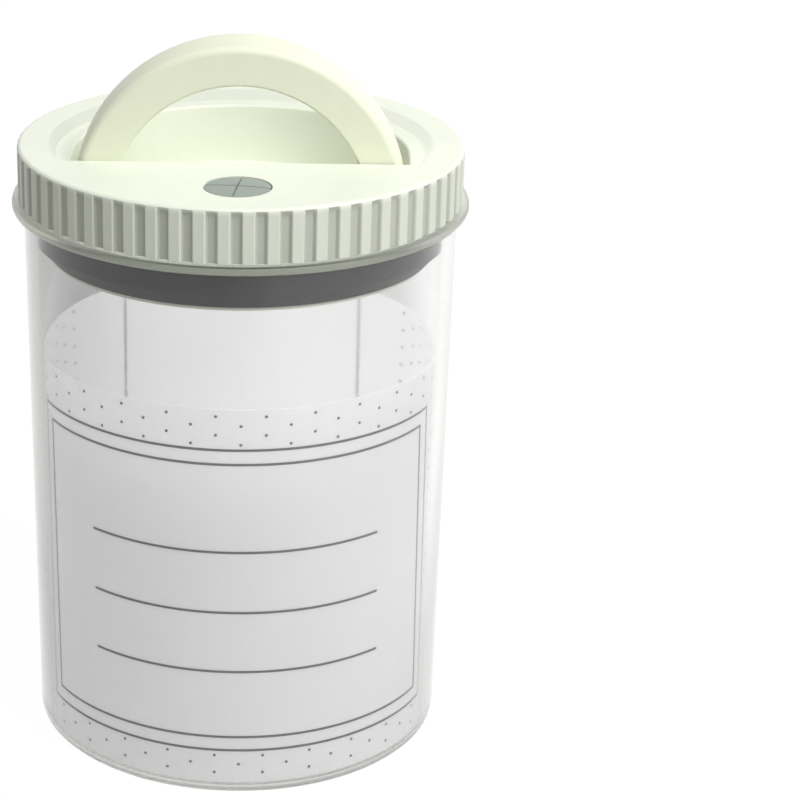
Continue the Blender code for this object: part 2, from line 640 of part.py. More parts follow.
def straight_curve(name, points, closed, collection):
    """A curve object of straight pieces through 3-D points."""
    curve = bpy.data.curves.new(name, "CURVE")
    curve.dimensions = "3D"
    spline = curve.splines.new("POLY")
    spline.points.add(len(points) - 1)
    for point, place in zip(spline.points, points):
        point.co = (*place, 1)
    spline.use_cyclic_u = closed
    obj = bpy.data.objects.new(name, curve)
    collection.objects.link(obj)
    return obj


def swept_mesh(name, section, path, collection):
    """A closed mesh of a section swept along a path."""
    section_curve = straight_curve(f"{name}_section", section, True, collection)
    path_curve = straight_curve(f"{name}_path", path, False, collection)
    path_curve.data.bevel_mode = "OBJECT"
    path_curve.data.bevel_object = section_curve
    path_curve.data.use_fill_caps = True
    evaluated = path_curve.evaluated_get(bpy.context.evaluated_depsgraph_get())
    mesh = bpy.data.meshes.new_from_object(evaluated)
    mesh.name = name
    bpy.data.objects.remove(path_curve)
    bpy.data.objects.remove(section_curve)
    shape = bmesh.new()
    shape.from_mesh(mesh)
    bmesh.ops.remove_doubles(shape, verts=shape.verts, dist=MERGE_DISTANCE)
    bmesh.ops.recalc_face_normals(shape, faces=shape.faces)
    shape.to_mesh(mesh)
    shape.free()
    return mesh


def build_handle(parts, cutters):
    """The arch: a band swept over a half circle, its feet rounded about the axis and bored for the pins."""
    material = make_material("handle_ivory", IVORY, 0.38)
    mesh = swept_mesh("handle", handle_section(), handle_path(), cutters)
    handle = add_object("handle", mesh, parts, material)
    handle.location = (0, HANDLE_AXIS_Y, HANDLE_AXIS_HEIGHT)
    reach = HANDLE_OUTER_RADIUS + OVERRUN
    side_view = [[Vector((x, y, z)) for y, z in foot_outline()] for x in (-reach, reach)]
    boolean(handle, "INTERSECT", add_cutter("keep_feet", loft_mesh("keep_feet", side_view), cutters))
    for side, sign in (("left", -1), ("right", 1)):
        inner_end = HANDLE_OUTER_RADIUS - PIN_REACH - SEAT_GAP
        bore = crosswise_cylinder(f"cut_foot_{side}", PIN_RADIUS + SEAT_GAP, sign * inner_end, sign * reach)
        boolean(handle, "DIFFERENCE", add_cutter(f"cut_foot_{side}", bore, cutters))
    settle(handle)


def build_pins(parts):
    """The two pins, pressed in from the plug's outer face."""
    material = make_material("pin_steel", STEEL, 0.30, metallic=1.0)
    plug_face = math.sqrt(PLUG_RADIUS**2 - HANDLE_AXIS_Y**2)
    inner_end = HANDLE_OUTER_RADIUS - PIN_REACH
    outer_end = plug_face - PIN_RECESS
    for side, sign in (("left", -1), ("right", 1)):
        name = f"handle_pin_{side}"
        pin = crosswise_cylinder(name, PIN_RADIUS, sign * inner_end, sign * outer_end)
        settle(add_object(name, pin, parts, material))


def build_button(parts, cutters):
    """The silicone button: a low dome with two crossing slits, and a hub below that guides it."""
    material = make_material("button_silicone", GREY, 0.60)
    foot = -BUTTON_THICKNESS
    hub_foot = foot - HUB_LENGTH
    socket_radius = STEM_RADIUS + SEAT_GAP
    socket_roof = foot - SOCKET_ROOF
    dome_radius = (BUTTON_RADIUS**2 + BUTTON_DOME**2) / (2 * BUTTON_DOME)
    dome_span = math.degrees(math.asin((BUTTON_RADIUS - BUTTON_EDGE_ROUND) / dome_radius))
    edge = BUTTON_RADIUS - BUTTON_EDGE_ROUND
    profile = [(0, socket_roof), (socket_radius, socket_roof), (socket_radius, hub_foot), (HUB_RADIUS, hub_foot)]
    profile += [(HUB_RADIUS, foot), (BUTTON_RADIUS, foot)]
    profile += arc(edge, -BUTTON_EDGE_ROUND, BUTTON_EDGE_ROUND, 0, 90, 2)
    profile += arc(0, BUTTON_DOME - dome_radius, dome_radius, 90 - dome_span, 90, CORNER_STEPS)[1:-1]
    profile += [(0, BUTTON_DOME)]
    button = add_object("valve_button", profile_mesh("valve_button", profile[::-1], closed=False), parts, material)
    button.location = (0, -VALVE_FORWARD, LID_TOP)
    turn(button, SMALL_STEPS)
    for i in range(2):
        slit = bpy.data.meshes.new(f"cut_slit_{i}")
        shape = bmesh.new()
        size = Vector((2 * BUTTON_RADIUS + OVERRUN, SLIT_WIDTH, 2 * SLIT_DEPTH, 1))
        bmesh.ops.create_cube(shape, size=1, matrix=Matrix.Diagonal(size))
        shape.to_mesh(slit)
        shape.free()
        cutter = add_cutter(f"cut_slit_{i}", slit, cutters)
        cutter.location = button.location + Vector((0, 0, BUTTON_DOME))
        cutter.rotation_euler.z = SLIT_TURN + math.radians(90) * i
        boolean(button, "DIFFERENCE", cutter)
    notch_x = -BUTTON_RADIUS * math.sin(SLIT_TURN)
    notch_y = BUTTON_RADIUS * math.cos(SLIT_TURN) - VALVE_FORWARD
    notch = upright_cylinder(
        "cut_notch", NOTCH_RADIUS, notch_x, notch_y, LID_TOP - BUTTON_THICKNESS / 2, LID_TOP + OVERRUN
    )
    boolean(button, "DIFFERENCE", add_cutter("cut_notch", notch, cutters))
    settle(button)


def build_stem(parts):
    """The rod from the button's socket down through the vent, with a foot that carries the flap."""
    material = make_material("stem_ivory", IVORY, 0.42)
    top = LID_TOP - BUTTON_THICKNESS - SOCKET_ROOF - SEAT_GAP
    foot_top = ROOF_FOOT - SEAT_GAP - FLAP_THICKNESS - SEAT_GAP
    foot = foot_top - STEM_FOOT_THICKNESS
    profile = [(0, top), (STEM_RADIUS, top), (STEM_RADIUS, foot_top), (STEM_FOOT_RADIUS, foot_top)]
    profile += [(STEM_FOOT_RADIUS, foot), (0, foot)]
    stem = add_object("valve_stem", profile_mesh("valve_stem", profile, closed=False), parts, material)
    stem.location.y = -VALVE_FORWARD
    turn(stem, SMALL_STEPS)
    settle(stem)


def build_flap(parts):
    """The silicone flap that closes the vent from below, thinner towards its edge."""
    material = make_material("flap_silicone", GREY, 0.60)
    top = ROOF_FOOT - SEAT_GAP
    foot = top - FLAP_THICKNESS
    hole = STEM_RADIUS + SEAT_GAP
    profile = [(hole, top), (FLAP_RADIUS, top), (FLAP_RADIUS, top - FLAP_EDGE_THICKNESS)]
    profile += [(STEM_FOOT_RADIUS, foot), (hole, foot)]
    flap = add_object("valve_flap", profile_mesh("valve_flap", profile, closed=True), parts, material)
    flap.location.y = -VALVE_FORWARD
    turn(flap, SMALL_STEPS)
    settle(flap)


def main():
    parts, cutters = clear_scene()
    build_jar(parts)
    build_label(parts)
    build_lid(parts, cutters)
    build_seal(parts)
    build_retainer(parts, cutters)
    build_handle(parts, cutters)
    build_pins(parts)
    build_button(parts, cutters)
    build_stem(parts)
    build_flap(parts)


main()
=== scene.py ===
"""The looks of a clear storage canister with an airtight ivory lid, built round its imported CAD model.

The file is laid out as an add-on: sizes and colours are properties, each piece is an operator, and a
panel in the 3D view's sidebar lists them. Run as a script, it builds everything in order.
"""

import json
import math

import bmesh
import bpy
from mathutils import Matrix, Vector


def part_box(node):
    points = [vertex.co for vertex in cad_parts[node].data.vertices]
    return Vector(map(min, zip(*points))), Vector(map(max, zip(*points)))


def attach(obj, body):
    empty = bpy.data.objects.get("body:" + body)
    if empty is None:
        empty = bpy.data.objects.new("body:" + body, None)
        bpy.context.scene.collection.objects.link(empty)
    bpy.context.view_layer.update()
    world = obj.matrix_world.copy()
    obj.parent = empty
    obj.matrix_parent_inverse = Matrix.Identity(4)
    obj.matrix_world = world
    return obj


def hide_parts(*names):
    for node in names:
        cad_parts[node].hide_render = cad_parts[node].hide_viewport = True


bl_info = {
    "name": "Storage Canister Looks",
    "version": (1, 0, 0),
    "blender": (4, 5, 0),
    "location": "View3D > Sidebar > Canister",
    "description": "Finishes, print, light and camera for a clear canister with an airtight lid",
    "category": "Object",
}

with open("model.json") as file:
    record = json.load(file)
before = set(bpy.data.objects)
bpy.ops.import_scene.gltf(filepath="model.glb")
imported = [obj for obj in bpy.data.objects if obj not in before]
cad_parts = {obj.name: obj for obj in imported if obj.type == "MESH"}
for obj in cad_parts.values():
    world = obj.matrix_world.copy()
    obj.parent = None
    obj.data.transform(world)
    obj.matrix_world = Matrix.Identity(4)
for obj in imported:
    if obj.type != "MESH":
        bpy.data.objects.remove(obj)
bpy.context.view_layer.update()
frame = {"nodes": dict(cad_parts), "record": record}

JAR_LOW, JAR_HIGH = (Vector(corner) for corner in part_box("jar_body"))
LID_HIGH = Vector(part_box("lid_shell")[1])
PAPER_LOW, PAPER_HIGH = (Vector(corner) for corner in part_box("label_insert"))
LID_TOP = LID_HIGH.z
GROOVE_DEPTH = 0.0009
BEAD_REACH = 0.0029
MERGE_DISTANCE = 0.000001
SAME_PLANE = math.radians(0.4)
SMOOTH_ANGLE = math.radians(34)


# Sizes and colours


class CanisterPrint(bpy.types.PropertyGroup):
    """What is printed on the paper, in metres along its curve and up from the foot."""

    frame_top: bpy.props.FloatProperty(
        name="Frame top", description="Height of the outer rule's top edge", default=0.0947, unit="LENGTH"
    )
    frame_foot: bpy.props.FloatProperty(
        name="Frame foot", description="Height of the outer rule's lower edge", default=0.0113, unit="LENGTH"
    )
    frame_half_width: bpy.props.FloatProperty(
        name="Frame half width",
        description="From the middle to the outer rule's side",
        default=0.0589,
        unit="LENGTH",
    )
    frame_centre: bpy.props.FloatProperty(
        name="Frame centre", description="Shift of the frame along the curve", default=-0.0007, unit="LENGTH"
    )
    frame_lean: bpy.props.FloatProperty(
        name="Frame lean",
        description="Sideways shift for each metre down from the frame's top",
        default=0.025,
    )
    frame_gap: bpy.props.FloatProperty(
        name="Frame gap", description="Between the outer and inner rules", default=0.0038, unit="LENGTH"
    )
    rule_width: bpy.props.FloatProperty(
        name="Rule width", description="Thickness of the frame's rules", default=0.00066, unit="LENGTH"
    )
    dot_pitch: bpy.props.FloatProperty(
        name="Dot pitch", description="Between columns of dots", default=0.006, unit="LENGTH"
    )
    dot_columns: bpy.props.IntProperty(
        name="Dot columns", description="Columns of dots on either side of the middle one", default=17
    )
    dot_rise: bpy.props.FloatProperty(
        name="Dot rise", description="Between the dots of one column", default=0.0049, unit="LENGTH"
    )
    dot_radius: bpy.props.FloatProperty(
        name="Dot radius", description="Radius of a dot", default=0.00038, unit="LENGTH"
    )
    dot_shift: bpy.props.FloatProperty(
        name="Dot shift",
        description="From the frame's middle to a column of dots",
        default=0.0021,
        unit="LENGTH",
    )
    dot_lift: bpy.props.FloatProperty(
        name="Dot lift",
        description="From the frame's top up to that column's lowest dot",
        default=0.0011,
        unit="LENGTH",
    )
    side_margin: bpy.props.FloatProperty(
        name="Side margin", description="Bare strip outside the frame's sides", default=0.0011, unit="LENGTH"
    )
    foot_margin: bpy.props.FloatProperty(
        name="Foot margin", description="Bare strip along the sheet's foot", default=0.002, unit="LENGTH"
    )
    back_rule_reach: bpy.props.FloatProperty(
        name="Back rule reach",
        description="From the middle to the rear's upright rules",
        default=0.0325,
        unit="LENGTH",
    )
    line_pitch: bpy.props.FloatProperty(
        name="Line pitch", description="Between the writing lines", default=0.0165, unit="LENGTH"
    )
    line_half_width: bpy.props.FloatProperty(
        name="Line half width", description="Half the length of a writing line", default=0.038, unit="LENGTH"
    )
    line_height: bpy.props.FloatProperty(
        name="Line height", description="Height of the middle writing line", default=0.0505, unit="LENGTH"
    )


class CanisterColours(bpy.types.PropertyGroup):
    """Colours of the mouldings, the paper and its ink, and of the painted shade on the jar's bead and foot.
    """

    ivory: bpy.props.FloatVectorProperty(
        name="Ivory", description="Lid and the pieces under it", subtype="COLOR", default=(0.84, 0.875, 0.755)
    )
    # Painted shade: how much the lid's skirt colour is darkened, most in its grooves, to stand in for shade.
    painted_skirt_shade: bpy.props.FloatProperty(
        name="Groove shade",
        description="How much greyer the lid is in its grooves",
        subtype="FACTOR",
        min=0.0,
        max=1.0,
        default=0.38,
    )
    handle: bpy.props.FloatVectorProperty(
        name="Handle",
        description="Handle's ivory, a little warmer",
        subtype="COLOR",
        default=(0.83, 0.86, 0.68),
    )
    clear: bpy.props.FloatVectorProperty(
        name="Clear plastic", description="Jar", subtype="COLOR", default=(0.97, 0.975, 0.97)
    )
    haze: bpy.props.FloatProperty(
        name="Haze", description="Density of the clear plastic's grey", default=36.0
    )
    # Painted shade: the bead and foot colours grey the jar there, standing in for the shade seen through it.
    bead: bpy.props.FloatVectorProperty(
        name="Rim bead", description="Jar's rim bead", subtype="COLOR", default=(0.79, 0.81, 0.72)
    )
    foot: bpy.props.FloatVectorProperty(
        name="Foot", description="Bend at the jar's foot", subtype="COLOR", default=(0.68, 0.68, 0.67)
    )
    paper: bpy.props.FloatVectorProperty(
        name="Paper", description="Insert", subtype="COLOR", default=(0.95, 0.945, 0.95)
    )
    ink: bpy.props.FloatVectorProperty(
        name="Ink", description="Print on the insert", subtype="COLOR", default=(0.16, 0.16, 0.16)
    )
    seal: bpy.props.FloatVectorProperty(
        name="Seal", description="Silicone ring", subtype="COLOR", default=(0.045, 0.045, 0.05)
    )
    valve: bpy.props.FloatVectorProperty(
        name="Valve",
        description="Silicone button and flap",
        subtype="COLOR",
        default=(0.315, 0.355, 0.32),
    )
    steel: bpy.props.FloatVectorProperty(
        name="Steel", description="Handle pins", subtype="COLOR", default=(0.60, 0.60, 0.59)
    )


class CanisterStage(bpy.types.PropertyGroup):
    """Camera and lamps."""

    camera_distance: bpy.props.FloatProperty(
        name="Camera distance", description="From the middle of the lid's top", default=0.6704, unit="LENGTH"
    )
    camera_rise: bpy.props.FloatProperty(
        name="Camera rise",
        description="Angle up from the lid's top",
        default=math.radians(16.51),
        unit="ROTATION",
    )
    camera_turn: bpy.props.FloatProperty(
        name="Camera turn",
        description="Angle round from the valve side",
        default=math.radians(1.0),
        unit="ROTATION",
    )
    camera_tilt: bpy.props.FloatProperty(
        name="Camera tilt",
        description="Angle that the lens looks down",
        default=math.radians(22.07),
        unit="ROTATION",
    )
    camera_roll: bpy.props.FloatProperty(
        name="Camera roll", description="Lean of the camera", default=math.radians(0.43), unit="ROTATION"
    )
    lens: bpy.props.FloatProperty(
        name="Lens", description="Focal length in millimetres", default=120.02, unit="CAMERA"
    )
    shift: bpy.props.FloatProperty(
        name="Shift", description="Sideways shift of the lens", default=0.2013
    )
    world_strength: bpy.props.FloatProperty(
        name="World strength", description="Light from all round", default=0.34
    )
    key_power: bpy.props.FloatProperty(
        name="Key power", description="Large lamp above right, in watts", default=12.4, unit="POWER"
    )
    side_power: bpy.props.FloatProperty(
        name="Side power", description="Low lamp at the right, in watts", default=1.0, unit="POWER"
    )
    back_power: bpy.props.FloatProperty(
        name="Back power", description="Lamp behind the jar, in watts", default=11.0, unit="POWER"
    )


# Nodes that the materials share


def node(tree, kind, **settings):
    """Adds a node, with its attributes and inputs set by name."""
    made = tree.nodes.new(kind)
    for name, value in settings.items():
        if hasattr(made, name):
            setattr(made, name, value)
        else:
            made.inputs[name.replace("_", " ")].default_value = value
    return made


def maths(tree, operation, first, second=None, third=None, clamp=False):
    """Adds a Math node on sockets or numbers and returns its output."""
    made = tree.nodes.new("ShaderNodeMath")
    made.operation = operation
    made.use_clamp = clamp
    for slot, given in enumerate((first, second, third)):
        if given is None:
            continue
        if isinstance(given, (int, float)):
            made.inputs[slot].default_value = given
        else:
            tree.links.new(given, made.inputs[slot])
    return made.outputs[0]


def mixed_colour(tree, factor, first, second):
    """Mixes two colours, given as sockets or values, by a factor."""
    made = tree.nodes.new("ShaderNodeMix")
    made.data_type = "RGBA"
    for slot, given in ((0, factor), (6, first), (7, second)):
        if isinstance(given, bpy.types.NodeSocket):
            tree.links.new(given, made.inputs[slot])
        elif isinstance(given, (int, float)):
            made.inputs[slot].default_value = given
        else:
            made.inputs[slot].default_value = (*given, 1.0)
    return made.outputs[2]


def new_group(name, inputs, outputs):
    """Makes an empty shader node group with named sockets, and returns it with its ends."""
    tree = bpy.data.node_groups.new(name, "ShaderNodeTree")
    for socket, kind, default in inputs:
        made = tree.interface.new_socket(name=socket, in_out="INPUT", socket_type=kind)
        made.default_value = default
    for socket, kind in outputs:
        tree.interface.new_socket(name=socket, in_out="OUTPUT", socket_type=kind)
    return tree, tree.nodes.new("NodeGroupInput"), tree.nodes.new("NodeGroupOutput")


def moulded_group():
    """Fine grain, slow shade changes and flow marks of moulded plastic or rubber."""
    name = "Moulded surface"
    if name in bpy.data.node_groups:
        return bpy.data.node_groups[name]
    tree, start, end = new_group(
        name,
        (
            ("Colour", "NodeSocketColor", (0.8, 0.8, 0.8, 1.0)),
            ("Shade Change", "NodeSocketFloat", 0.04),
            ("Roughness", "NodeSocketFloat", 0.4),
            ("Roughness Change", "NodeSocketFloat", 0.06),
            ("Grain Size", "NodeSocketFloat", 0.0004),
            ("Grain Height", "NodeSocketFloat", 0.00001),
        ),
        (("Colour", "NodeSocketColor"), ("Roughness", "NodeSocketFloat"), ("Normal", "NodeSocketVector")),
    )
    place = node(tree, "ShaderNodeTexCoord").outputs["Object"]
    broad = node(tree, "ShaderNodeTexNoise", Scale=38.0, Detail=3.0, Roughness=0.55)
    tree.links.new(place, broad.inputs["Vector"])
    streaks = node(tree, "ShaderNodeMapping")
    streaks.inputs["Scale"].default_value = (1.0, 1.0, 0.25)
    tree.links.new(place, streaks.inputs["Vector"])
    flow = node(tree, "ShaderNodeTexNoise", Scale=160.0, Detail=2.0, Distortion=0.4)
    tree.links.new(streaks.outputs[0], flow.inputs["Vector"])
    both = maths(tree, "ADD", broad.outputs["Fac"], flow.outputs["Fac"])
    swing = maths(tree, "SUBTRACT", both, 1.0)
    shade = maths(tree, "MULTIPLY_ADD", swing, start.outputs["Shade Change"], 1.0)
    colour = node(tree, "ShaderNodeVectorMath", operation="SCALE")
    tree.links.new(start.outputs["Colour"], colour.inputs[0])
    tree.links.new(shade, colour.inputs["Scale"])
    tree.links.new(colour.outputs[0], end.inputs["Colour"])
    rough = maths(
        tree, "MULTIPLY_ADD", swing, start.outputs["Roughness Change"], start.outputs["Roughness"], clamp=True
    )
    tree.links.new(rough, end.inputs["Roughness"])
    grain = node(tree, "ShaderNodeTexNoise", Detail=2.0, Roughness=0.6)
    tree.links.new(place, grain.inputs["Vector"])
    tree.links.new(maths(tree, "DIVIDE", 1.0, start.outputs["Grain Size"]), grain.inputs["Scale"])
    bump = node(tree, "ShaderNodeBump", Strength=1.0)
    tree.links.new(grain.outputs["Fac"], bump.inputs["Height"])
    tree.links.new(start.outputs["Grain Height"], bump.inputs["Distance"])
    tree.links.new(bump.outputs[0], end.inputs["Normal"])
    return tree


def new_material(name):
    """Makes a material and returns it with its tree and its Principled BSDF."""
    material = bpy.data.materials.new(name)
    material.use_nodes = True
    tree = material.node_tree
    return material, tree, tree.nodes["Principled BSDF"]


def moulded_material(name, colour, roughness, shade_change=0.05, grain_size=0.0005, grain_height=0.00001):
    """A material whose colour, roughness and bump come from the moulded surface group."""
    material, tree, shader = new_material(name)
    group = tree.nodes.new("ShaderNodeGroup")
    group.node_tree = moulded_group()
    group.inputs["Colour"].default_value = (*colour, 1.0)
    group.inputs["Shade Change"].default_value = shade_change
    group.inputs["Roughness"].default_value = roughness
    group.inputs["Grain Size"].default_value = grain_size
    group.inputs["Grain Height"].default_value = grain_height
    tree.links.new(group.outputs["Colour"], shader.inputs["Base Color"])
    tree.links.new(group.outputs["Roughness"], shader.inputs["Roughness"])
    tree.links.new(group.outputs["Normal"], shader.inputs["Normal"])
    return material, tree, shader


def let_lamps_through(tree, shader):
    """Lets light reach what is behind clear plastic, while the eye still sees its gloss and bending.

    A ray that has been thrown about inside the wall goes straight on, a little greyer, and doesn't
    end in black.
    """
    most_bends = 3
    spent_tint = (0.74, 0.75, 0.70, 1.0)
    lamp_tint = (0.98, 0.98, 0.98, 1.0)
    path = tree.nodes.new("ShaderNodeLightPath")
    lamps = maths(tree, "MAXIMUM", path.outputs["Is Shadow Ray"], path.outputs["Is Diffuse Ray"])
    spent = maths(tree, "GREATER_THAN", path.outputs["Ray Depth"], most_bends)
    surface = shader
    for taken, tint in ((spent, spent_tint), (lamps, lamp_tint)):
        clear = node(tree, "ShaderNodeBsdfTransparent", Color=tint)
        mix = tree.nodes.new("ShaderNodeMixShader")
        tree.links.new(taken, mix.inputs[0])
        tree.links.new(surface.outputs[0], mix.inputs[1])
        tree.links.new(clear.outputs[0], mix.inputs[2])
        surface = mix
    tree.links.new(surface.outputs[0], tree.nodes["Material Output"].inputs["Surface"])


# Shapes that stand for nodes of the CAD model


def joined_shape(node_name):
    """A node's mesh from the CAD model, with its corners joined."""
    shape = bmesh.new()
    shape.from_mesh(frame["nodes"][node_name].data)
    bmesh.ops.remove_doubles(shape, verts=shape.verts, dist=MERGE_DISTANCE)
    return shape


def settled(obj):
    """Applies an object's modifiers to its mesh."""
    evaluated = obj.evaluated_get(bpy.context.evaluated_depsgraph_get())
    mesh = bpy.data.meshes.new_from_object(evaluated)
    obj.modifiers.clear()
    obj.data = mesh
    return obj


def stand_in(node_name, mesh, material):
    """Adds a piece that stands for a node of the CAD model and moves with its body."""
    piece = bpy.data.objects.new(f"{node_name}_fine", mesh)
    mesh.materials.clear()
    mesh.materials.append(material)
    bpy.context.scene.collection.objects.link(piece)
    bodies = frame["record"]["behaviour"]["bodies"]
    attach(piece, next(body for body, nodes in bodies.items() if node_name in nodes))
    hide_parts(node_name)
    return piece


def smoothed(piece):
    """Shades a piece smooth between its sharp edges, and keeps its flat faces flat."""
    piece.data.shade_smooth()
    piece.data.set_sharp_from_angle(angle=SMOOTH_ANGLE)
    even = piece.modifiers.new("Even shading", "WEIGHTED_NORMAL")
    even.keep_sharp = True
    return settled(piece)


def softened_copy(node_name, material, width, is_soft=lambda place: True):
    """A smooth stand-in with its edges rounded, all of them or those whose ends both pass a test."""
    shape = joined_shape(node_name)
    bmesh.ops.dissolve_limit(shape, angle_limit=SAME_PLANE, verts=shape.verts, edges=shape.edges)
    weights = shape.edges.layers.float.new("bevel_weight_edge")
    for edge in shape.edges:
        if edge.calc_face_angle(0) > SMOOTH_ANGLE and all(is_soft(vert.co) for vert in edge.verts):
            edge[weights] = 1.0
    mesh = bpy.data.meshes.new(f"{node_name}_fine")
    shape.to_mesh(mesh)
    shape.free()
    piece = stand_in(node_name, mesh, material)
    rounding = piece.modifiers.new("Rounded edges", "BEVEL")
    rounding.limit_method = "WEIGHT"
    rounding.width = width
    rounding.segments = 4
    settled(piece)
    return smoothed(piece)


def turned_again(node_name, material, steps):
    """A stand-in turned in finer steps from the section that the CAD model has at y = 0."""
    shape = joined_shape(node_name)
    section = [vert for vert in shape.verts if abs(vert.co.y) < MERGE_DISTANCE and vert.co.x > 0]
    places = {vert: number for number, vert in enumerate(section)}
    edges = [edge for edge in shape.edges if all(vert in places for vert in edge.verts)]
    points = [(vert.co.x, 0.0, vert.co.z) for vert in section]
    pairs = [tuple(places[vert] for vert in edge.verts) for edge in edges]
    for vert in section:
        if sum(vert in edge.verts for edge in edges) == 1:
            pairs.append((places[vert], len(points)))
            points.append((0.0, 0.0, vert.co.z))
    shape.free()
    mesh = bpy.data.meshes.new(f"{node_name}_fine")
    mesh.from_pydata(points, pairs, [])
    piece = stand_in(node_name, mesh, material)
    screw = piece.modifiers.new("Turned", "SCREW")
    screw.steps = steps
    screw.render_steps = steps
    screw.use_merge_vertices = True
    screw.merge_threshold = MERGE_DISTANCE
    screw.use_normal_calculate = True
    settled(piece)
    shape = bmesh.new()
    shape.from_mesh(piece.data)
    bmesh.ops.remove_doubles(shape, verts=shape.verts, dist=MERGE_DISTANCE)
    bmesh.ops.recalc_face_normals(shape, faces=shape.faces)
    shape.to_mesh(piece.data)
    shape.free()
    return smoothed(piece)


def sheet_radii():
    """The outer radii of the paper's foot and top edges in the CAD model."""
    corners = [vert.co for vert in frame["nodes"]["label_insert"].data.vertices]
    return tuple(
        max(corner.xy.length for corner in corners if abs(corner.z - height) < MERGE_DISTANCE)
        for height in (PAPER_LOW.z, PAPER_HIGH.z)
    )


# Patterns


def coordinates(tree, place):
    """A point's x, y and height, and its distance from the canister's axis."""
    split = tree.nodes.new("ShaderNodeSeparateXYZ")
    tree.links.new(place, split.inputs[0])
    x, y, up = split.outputs
    square = maths(tree, "ADD", maths(tree, "POWER", x, 2.0), maths(tree, "POWER", y, 2.0))
    return x, y, up, maths(tree, "SQRT", square)


def ramp(tree, value, low, high, at_low, at_high):
    """A value's straight change from one level to another between two limits, and level beyond them."""
    made = tree.nodes.new("ShaderNodeMapRange")
    tree.links.new(value, made.inputs["Value"])
    made.inputs["From Min"].default_value = low
    made.inputs["From Max"].default_value = high
    made.inputs["To Min"].default_value = at_low
    made.inputs["To Max"].default_value = at_high
    return made.outputs[0]


def band(tree, value, middle, half):
    """1 where a value is within half of the middle, else 0."""
    away = maths(tree, "ABSOLUTE", maths(tree, "SUBTRACT", value, middle))
    return maths(tree, "LESS_THAN", away, half)


def rectangle_rule(tree, along, up, half_width, low, high, width):
    """1 on a rectangle's outline, drawn inward from its edges."""
    middle = (low + high) / 2
    half_height = (high - low) / 2
    from_side = maths(tree, "SUBTRACT", maths(tree, "ABSOLUTE", along), half_width)
    from_middle = maths(tree, "ABSOLUTE", maths(tree, "SUBTRACT", up, middle))
    from_end = maths(tree, "SUBTRACT", from_middle, half_height)
    outside = maths(tree, "MAXIMUM", from_side, from_end)
    return band(tree, outside, -width / 2, width / 2)


def dot_field(tree, along, up, pitch, rise, radius):
    """1 on the dots of staggered columns, one of which has a dot at 0, 0."""
    masks = []
    for half in (0, 1):
        column = maths(tree, "PINGPONG", maths(tree, "ADD", along, half * pitch), pitch)
        row = maths(tree, "PINGPONG", maths(tree, "ADD", up, half * rise / 2), rise / 2)
        square = maths(tree, "ADD", maths(tree, "POWER", column, 2.0), maths(tree, "POWER", row, 2.0))
        masks.append(maths(tree, "LESS_THAN", square, radius * radius))
    return maths(tree, "MAXIMUM", masks[0], masks[1])


# Pieces


class CANISTER_OT_jar(bpy.types.Operator):
    """Finish the clear jar"""

    bl_idname = "canister.jar"
    bl_label = "Clear jar"

    def execute(self, context):
        colours = context.scene.canister_colours
        material, tree, shader = moulded_material(
            "jar_clear",
            colours.clear,
            shade_change=0.01,
            roughness=0.05,
            grain_size=0.0015,
            grain_height=0.000004,
        )
        shader.inputs["Transmission Weight"].default_value = 1.0
        shader.inputs["IOR"].default_value = 1.49
        self.paint_bead_and_foot_shade(tree, shader, colours)
        let_lamps_through(tree, shader)
        haze = node(tree, "ShaderNodeVolumeAbsorption", Color=(0.80, 0.81, 0.80, 1.0), Density=colours.haze)
        tree.links.new(haze.outputs[0], tree.nodes["Material Output"].inputs["Volume"])
        turned_again("jar_body", material, steps=360)
        return {"FINISHED"}

    def paint_bead_and_foot_shade(self, tree, shader, colours):
        """Paints shade into the rim bead and the bend at the foot, standing in for the shade seen through
        this thicker plastic, and leaves them half matt.
        """
        half_matt = 0.3
        _, _, up, radius = coordinates(tree, node(tree, "ShaderNodeTexCoord").outputs["Object"])
        bead_start = JAR_HIGH.x - BEAD_REACH
        bead_full = bead_start + BEAD_REACH / 6
        bead = ramp(tree, radius, low=bead_start, high=bead_full, at_low=0.0, at_high=1.0)
        foot_full = JAR_LOW.z + BEAD_REACH / 2
        foot_end = JAR_LOW.z + BEAD_REACH
        foot = ramp(tree, up, low=foot_full, high=foot_end, at_low=1.0, at_high=0.0)
        plastic = shader.inputs["Base Color"].links[0].from_socket
        # Painted shade on the bend at the foot and on the rim bead.
        with_painted_shade = mixed_colour(tree, foot, plastic, colours.foot)
        with_painted_shade = mixed_colour(tree, bead, with_painted_shade, colours.bead)
        tree.links.new(with_painted_shade, shader.inputs["Base Color"])
        polish = shader.inputs["Roughness"].links[0].from_socket
        thick = maths(tree, "MAXIMUM", bead, foot)
        rough = maths(tree, "MULTIPLY_ADD", thick, half_matt, polish)
        tree.links.new(rough, shader.inputs["Roughness"])


